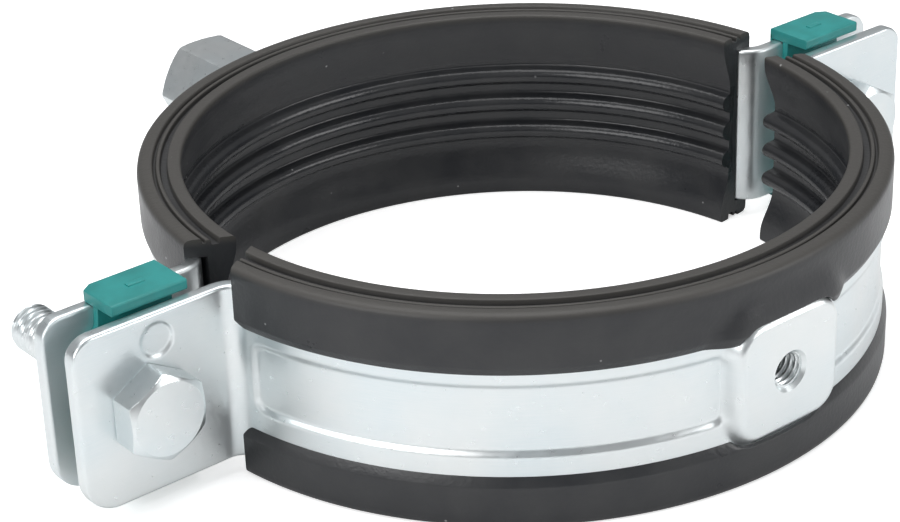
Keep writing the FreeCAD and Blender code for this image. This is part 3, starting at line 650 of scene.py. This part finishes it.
def make_clip(name, side):
    """Plate, two caps with hooks and a small raised bar, joined in one mesh."""
    near, far, high = EAR_NEAR, EAR_NEAR + STRIP, HALF_WIDTH
    first, cap_last, hook_last, plate_last = 67.5, 81.0, 79.2, 84.0
    front, back, top, low_top, thick = -2.9, far + 0.6, 17.0, 16.4, 1.3
    plate = np.array([(first, -high - 0.4), (80.6, -high - 0.4), (cap_last, -11.5), (plate_last, -9.0),
                      (plate_last, 9.0), (cap_last, 11.5), (80.6, high + 0.4), (first, high + 0.4)])
    cap = np.array([(front, high + 0.2), (back, high), (back, top), (front, top)])
    hook = np.array([(far, high - 2.4), (back, high - 2.4), (back, 16.0), (far, 16.0)])
    bar = [(0.9, 16.8), (2.0, 16.8), (2.0, 17.2), (0.9, 17.2)]
    low, low_hook = np.minimum(cap, [9, low_top]) * [1, -1], hook * [1, -1]
    piece = moulded(plate * [side, 1], near - thick, near, corner=0.6, along_y=True)
    shapes = [piece]
    for outline, start, stop, edge, slant in [
        (cap, first, cap_last, 0.18, 1.2), (low, first, cap_last, 0.18, 1.2),
        (bar, 72.5, 75.5, 0.08, 0),
        (hook, first, hook_last, 0.18, 0), (low_hook, first, hook_last, 0.18, 0),
    ]:
        shapes.append(moulded(outline, side * start, side * stop, edge, slant))
    piece.name = piece.data.name = name
    cut_by(piece, [turned_shape("cutter", side * BOLT_X, [(-6, 5.2), (8, 5.2)])])
    with bpy.context.temp_override(active_object=piece, selected_editable_objects=shapes):
        bpy.ops.object.join()
    print(name, "faces", len(piece.data.polygons))
    return piece


left_clip = make_clip("left_clip_plastic", -1)
right_clip = make_clip("right_clip_plastic", 1)


# %% [markdown]
# ## Finishes
# Materials are built from nodes and read Object coordinates, so they need no image. Small
# helpers place the nodes that each of them uses: noise at a scale, a change of range, a step of
# arithmetic, a mix of two colours and a bump.

# %% Material helpers
def new_material(name):
    """Material with a Principled shader and one Object-coordinates node."""
    material = bpy.data.materials.new(name)
    material.use_nodes = True
    nodes = material.node_tree.nodes
    shader = nodes["Principled BSDF"]
    where = nodes.new("ShaderNodeTexCoord")
    return material, nodes, material.node_tree.links, shader, where


def noise(nodes, links, source, scale, detail, stretch=(1, 1, 1)):
    """Noise of a scale per metre, on coordinates stretched along each axis."""
    mapping = nodes.new("ShaderNodeMapping")
    mapping.inputs["Scale"].default_value = stretch
    links.new(source, mapping.inputs["Vector"])
    texture = nodes.new("ShaderNodeTexNoise")
    texture.inputs["Scale"].default_value = scale
    texture.inputs["Detail"].default_value = detail
    links.new(mapping.outputs["Vector"], texture.inputs["Vector"])
    return texture.outputs["Fac"]


def remap(nodes, links, source, low, high, to_low, to_high):
    """Straight-line change of one range of values into another, held at its ends."""
    step = nodes.new("ShaderNodeMapRange")
    for label, value in zip(("From Min", "From Max", "To Min", "To Max"), (low, high, to_low, to_high)):
        step.inputs[label].default_value = value
    links.new(source, step.inputs["Value"])
    return step.outputs["Result"]


def reckon(nodes, links, operation, *sources):
    """One step of arithmetic on other nodes' outputs."""
    step = nodes.new("ShaderNodeMath")
    step.operation = operation
    for source, socket in zip(sources, step.inputs):
        links.new(source, socket)
    return step.outputs["Value"]


def blend_colours(nodes, links, mask, one, other):
    """Colour between two, by a mask; each is a colour or another node's output."""
    mix = nodes.new("ShaderNodeMix")
    mix.data_type = "RGBA"
    links.new(mask, mix.inputs["Factor"])
    for socket, value in ((mix.inputs[6], one), (mix.inputs[7], other)):
        if isinstance(value, tuple):
            socket.default_value = (*value, 1.0)
        else:
            links.new(value, socket)
    return mix.outputs[2]


def bump(nodes, links, shader, height, strength, distance):
    """Bump from a height, in metres of relief."""
    step = nodes.new("ShaderNodeBump")
    step.inputs["Strength"].default_value = strength
    step.inputs["Distance"].default_value = distance
    links.new(height, step.inputs["Height"])
    links.new(step.outputs["Normal"], shader.inputs["Normal"])


# %% [markdown]
# ## Zinc plate
# Zinc with a thin clear-blue passivation: bright, clouded between a bluish tint and a paler
# one, with fine rolling lines along the strip. The roughness varies more than the colour,
# because that is what breaks up reflections on real plated sheet. The ears' facing sides lie
# 3 mm from the plane between them, so their small Y picks them out for a duller finish.

# %% Zinc materials
def zinc(name, strip):
    """Metal with cloudy tint and uneven roughness.

    A strip has rolling lines along its UV map, and the ears' facing sides are duller.
    """
    bluish, pale, bright = (0.705, 0.77, 0.79), (0.775, 0.805, 0.805), (0.80, 0.82, 0.83)
    material, nodes, links, shader, where = new_material(name)
    place = where.outputs["Object"]
    cloud = remap(nodes, links, noise(nodes, links, place, 55, 3), 0.35, 0.65, 0, 1)
    tint = blend_colours(nodes, links, cloud, bluish, pale)
    fine = noise(nodes, links, place, 900, 5)
    lines = noise(nodes, links, where.outputs["UV"] if strip else place, 40 if strip else 400, 2,
                  (0.5, 14, 1) if strip else (1, 1, 1))
    dull = remap(nodes, links, fine, 0.3, 0.7, 0, 1)
    colour = blend_colours(nodes, links, remap(nodes, links, lines, 0.35, 0.7, 0, 0.35), tint, bright)
    links.new(colour, shader.inputs["Base Color"])
    rough = blend_colours(nodes, links, dull, (0.27, 0.27, 0.27), (0.37, 0.37, 0.37))
    if strip:
        split = nodes.new("ShaderNodeSeparateXYZ")
        links.new(place, split.inputs["Vector"])
        off_middle = reckon(nodes, links, "ABSOLUTE", split.outputs["Y"])
        inside = remap(nodes, links, off_middle, 0.0031, 0.0036, 1, 0)
        rough = blend_colours(nodes, links, inside, rough, (0.5, 0.5, 0.5))
    links.new(rough, shader.inputs["Roughness"])
    shader.inputs["Metallic"].default_value = 1.0
    bump(nodes, links, shader, lines, 0.06, 0.0001)
    return material


zinc_strip = zinc("zinc_plated_strip", True)
zinc_bolt = zinc("zinc_plated_steel", False)


# %% [markdown]
# ## Black rubber
# Extruded rubber is nearly black, fairly dull, and always carries a little pale dust. The dust
# is a Voronoi pattern: only the spots close to a cell's point and in a few cells are pale. The
# rim's top is painted a little paler, partly as dust and partly as painted light from above, and
# is duller; the ribbed zone inside, found by its distance from the bore's axis and its height,
# is glossier.

# %% Rubber material
def rubber(name):
    """Dark rubber: uneven dullness, fine grain, sparse dust specks, glossier ribs."""
    # rim is the paler colour of the rim's top: partly pale dust, partly painted light from above.
    dark, worn, rim = (0.021, 0.0222, 0.0250), (0.031, 0.0318, 0.0335), (0.050, 0.047, 0.043)
    material, nodes, links, shader, where = new_material(name)
    place = where.outputs["Object"]
    grain = noise(nodes, links, place, 1400, 3)
    patches = noise(nodes, links, place, 120, 4)
    specks = nodes.new("ShaderNodeTexVoronoi")
    specks.inputs["Scale"].default_value = 330
    links.new(place, specks.inputs["Vector"])
    close = remap(nodes, links, specks.outputs["Distance"], 0.05, 0.09, 1, 0)
    chosen = nodes.new("ShaderNodeSeparateColor")
    links.new(specks.outputs["Color"], chosen.inputs["Color"])
    rare = remap(nodes, links, chosen.outputs["Red"], 0.88, 0.9, 0, 1)
    dust = reckon(nodes, links, "MULTIPLY", close, rare)
    base = blend_colours(nodes, links, remap(nodes, links, patches, 0.35, 0.65, 0, 1), dark, worn)
    split = nodes.new("ShaderNodeSeparateXYZ")
    links.new(place, split.inputs["Vector"])
    # The rim's top is painted paler: partly pale dust, partly painted light falling from above.
    top = remap(nodes, links, split.outputs["Z"], 0.0168, 0.0178, 0, 1)
    base_with_dusty_lit_top = blend_colours(nodes, links, top, base, rim)
    colour = blend_colours(nodes, links, dust, base_with_dusty_lit_top, (0.30, 0.30, 0.30))
    links.new(colour, shader.inputs["Base Color"])
    flatten = nodes.new("ShaderNodeMapping")
    flatten.inputs["Scale"].default_value = (1, 1, 0)
    links.new(place, flatten.inputs["Vector"])
    radius = nodes.new("ShaderNodeVectorMath")
    radius.operation = "LENGTH"
    links.new(flatten.outputs["Vector"], radius.inputs[0])
    level = reckon(nodes, links, "ABSOLUTE", split.outputs["Z"])
    plain = reckon(nodes, links, "MAXIMUM",
                   remap(nodes, links, radius.outputs["Value"], 0.0575, 0.0585, 0, 1),
                   remap(nodes, links, level, 0.0078, 0.0088, 0, 1))
    gloss = blend_colours(nodes, links, plain,
                          remap(nodes, links, patches, 0.3, 0.7, 0.18, 0.24),
                          remap(nodes, links, patches, 0.3, 0.7, 0.27, 0.38))
    links.new(blend_colours(nodes, links, top, gloss, (0.5, 0.5, 0.5)), shader.inputs["Roughness"])
    shader.inputs["Specular IOR Level"].default_value = 0.45
    bump(nodes, links, shader, grain, 0.25, 0.0002)
    return material


black_rubber = rubber("black_rubber")


# %% [markdown]
# ## Teal plastic
# Moulded polypropylene: one even colour with a soft, slightly cloudy gloss. Worn edges would be
# wrong on a new clip, so only fine grain and a faint change of tone are added.

# %% Plastic material
def plastic(name):
    """Teal plastic with faint clouds and fine grain."""
    deep, light = (0.012, 0.205, 0.195), (0.018, 0.255, 0.245)
    material, nodes, links, shader, where = new_material(name)
    place = where.outputs["Object"]
    clouds = noise(nodes, links, place, 260, 4)
    colour = blend_colours(nodes, links, remap(nodes, links, clouds, 0.35, 0.65, 0, 1), deep, light)
    links.new(colour, shader.inputs["Base Color"])
    links.new(remap(nodes, links, clouds, 0.3, 0.7, 0.34, 0.46), shader.inputs["Roughness"])
    bump(nodes, links, shader, noise(nodes, links, place, 2600, 2), 0.1, 0.0001)
    return material


teal = plastic("teal_plastic")
print("finishes:", ", ".join(finish.name for finish in (zinc_strip, zinc_bolt, black_rubber, teal)))

# %% [markdown]
# ## Riding on the bodies
# Each piece says which body carries it, which solid it stands for and which finish of the
# record it takes. The bolts ride on bodies of their own, because they turn.

# %% Pieces to bodies
for piece, body, node, slot, material in [
    (front_band, "front_half", "front_band", "zinc_plate", zinc_strip),
    (rear_band, "rear_half", "rear_band", "zinc_plate", zinc_strip),
    (front_liner, "front_half", "front_liner", "rubber", black_rubber),
    (rear_liner, "rear_half", "rear_liner", "rubber", black_rubber),
    (left_bolt, "left_bolt_body", "left_bolt", "bolt_zinc", zinc_bolt),
    (right_bolt, "right_bolt_body", "right_bolt", "bolt_zinc", zinc_bolt),
    (left_clip, "rear_half", "left_clip", "teal_plastic", teal),
    (right_clip, "rear_half", "right_clip", "teal_plastic", teal),
    (connecting_nut, "rear_half", "connecting_nut", "bolt_zinc", zinc_bolt),
    (pad_thread, "front_half", None, "zinc_plate", zinc_bolt),
]:
    piece.data.materials.clear()
    piece.data.materials.append(material)
    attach(piece, body)
    if node:
        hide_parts(node)
    print(piece.name, "rides", body)


# %% [markdown]
# ## Floor
# The floor lies at the solids' lowest point, under the rubber's lower edges, and is pale. A
# little glow, seen by the camera only, lifts it to white where nothing stands on it; the soft
# shadow stays, and the clamp's reflections show the plain floor.

# %% Floor
def make_floor():
    """Plain pale plane at the lowest point."""
    size, level = 4000.0, cad_low[2] / MM
    corners = np.array([(-1, -1), (1, -1), (1, 1), (-1, 1)]) * size
    mesh = bpy.data.meshes.new("floor")
    points = np.column_stack([corners, np.full(4, level)]) * MM
    mesh.from_pydata(points.tolist(), [], [[0, 1, 2, 3]])
    floor = bpy.data.objects.new("floor", mesh)
    bpy.context.scene.collection.objects.link(floor)
    material, nodes, links, shader = new_material("pale_floor")[:4]
    shader.inputs["Base Color"].default_value = (0.86, 0.86, 0.86, 1)
    shader.inputs["Roughness"].default_value = 0.9
    shader.inputs["Specular IOR Level"].default_value = 0.1
    glow = nodes.new("ShaderNodeEmission")
    glow.inputs["Color"].default_value = (1, 1, 1, 1)
    glow.inputs["Strength"].default_value = 0.55
    both = nodes.new("ShaderNodeAddShader")
    pick = nodes.new("ShaderNodeMixShader")
    path = nodes.new("ShaderNodeLightPath")
    links.new(shader.outputs["BSDF"], both.inputs[0])
    links.new(glow.outputs["Emission"], both.inputs[1])
    links.new(path.outputs["Is Camera Ray"], pick.inputs["Fac"])
    links.new(shader.outputs["BSDF"], pick.inputs[1])
    links.new(both.outputs["Shader"], pick.inputs[2])
    links.new(pick.outputs["Shader"], nodes["Material Output"].inputs["Surface"])
    mesh.materials.append(material)
    print("floor at z %.1f mm" % level)


make_floor()


# %% [markdown]
# ## World
# The camera sees plain white behind the clamp. Light and reflections see something softer: a
# pale grey that brightens from the horizon to the zenith and fills the sides that no lamp
# reaches.

# %% World
def make_world():
    """White to the camera; a soft gradient from the horizon up for light and reflections."""
    horizon, zenith = (0.70, 0.715, 0.73, 1), (0.92, 0.93, 0.95, 1)
    world = bpy.data.worlds.new("studio")
    bpy.context.scene.world = world
    world.use_nodes = True
    nodes, links = world.node_tree.nodes, world.node_tree.links
    nodes.clear()
    where = nodes.new("ShaderNodeTexCoord")
    split = nodes.new("ShaderNodeSeparateXYZ")
    links.new(where.outputs["Generated"], split.inputs["Vector"])
    ramp = nodes.new("ShaderNodeValToRGB")
    height = remap(nodes, links, split.outputs["Z"], -0.2, 1.0, 0, 1)
    links.new(height, ramp.inputs["Fac"])
    ramp.color_ramp.elements[0].color = horizon
    ramp.color_ramp.elements[1].color = zenith
    soft = nodes.new("ShaderNodeBackground")
    soft.inputs["Strength"].default_value = 0.42
    links.new(ramp.outputs["Color"], soft.inputs["Color"])
    white = nodes.new("ShaderNodeBackground")
    white.inputs["Color"].default_value = (1, 1, 1, 1)
    white.inputs["Strength"].default_value = 1.0
    path = nodes.new("ShaderNodeLightPath")
    mix = nodes.new("ShaderNodeMixShader")
    links.new(path.outputs["Is Camera Ray"], mix.inputs["Fac"])
    links.new(soft.outputs["Background"], mix.inputs[1])
    links.new(white.outputs["Background"], mix.inputs[2])
    out = nodes.new("ShaderNodeOutputWorld")
    links.new(mix.outputs["Shader"], out.inputs["Surface"])


make_world()
print("world:", bpy.context.scene.world.name)


# %% [markdown]
# ## Lamps
# Three broad lamps stand round the clamp, so that the plated steel has long soft reflections:
# one above and a little behind, one to the left, and one in front on the right, each aimed at
# the middle of the bore.

# %% Lamps
def lamp(name, place, size, power):
    """Oblong area lamp, placed and sized in millimetres, aimed at the origin."""
    light = bpy.data.lights.new(name, "AREA")
    light.shape, light.size, light.size_y = "RECTANGLE", size[0] * MM, size[1] * MM
    light.energy = power
    holder = bpy.data.objects.new(name, light)
    holder.location = np.array(place) * MM
    aim = Vector([-value for value in place])
    holder.rotation_euler = aim.to_track_quat("-Z", "Y").to_euler()
    bpy.context.scene.collection.objects.link(holder)
    print("lamp", name, power, "W")


lamp("top", (0, 100, 700), (700, 700), 4.2)
lamp("left", (-650, -100, 350), (500, 400), 2.3)
lamp("front_right", (450, -650, 300), (500, 350), 2.2)


# %% [markdown]
# ## Camera
# The camera stands where the photograph's did. Its place was fitted to points of the clamp that
# can be told apart in the photograph. The focal length is in pixels of a picture 900 pixels
# wide, so the lens in millimetres follows from the sensor's width.

# %% Camera
def make_camera():
    """Pinhole camera at the photograph's place: azimuth, elevation, roll and distance."""
    azimuth, elevation, roll = np.radians([-38.878, 27.045, -2.033])
    distance, across, rise, focal = 421.461, -11.093, -4.315, 2494.618
    sensor, picture_width = 36.0, 900.0
    back = np.array([math.sin(azimuth) * math.cos(elevation),
                     -math.cos(azimuth) * math.cos(elevation), math.sin(elevation)])
    right = np.array([math.cos(azimuth), math.sin(azimuth), 0.0])
    up = np.cross(back, right)
    right, up = (right * math.cos(roll) + up * math.sin(roll),
                 up * math.cos(roll) - right * math.sin(roll))
    place = back * distance + right * across + up * rise
    data = bpy.data.cameras.new("camera")
    data.sensor_fit, data.sensor_width = "HORIZONTAL", sensor
    data.lens = focal * sensor / picture_width
    data.clip_start, data.clip_end = 0.01, 20.0
    camera = bpy.data.objects.new("camera", data)
    turn = Matrix((right, up, back)).transposed().to_4x4()
    camera.matrix_world = Matrix.Translation(place * MM) @ turn
    bpy.context.scene.collection.objects.link(camera)
    bpy.context.scene.camera = camera
    print("lens %.1f mm" % data.lens)


make_camera()
bpy.context.scene.view_settings.view_transform = "Standard"
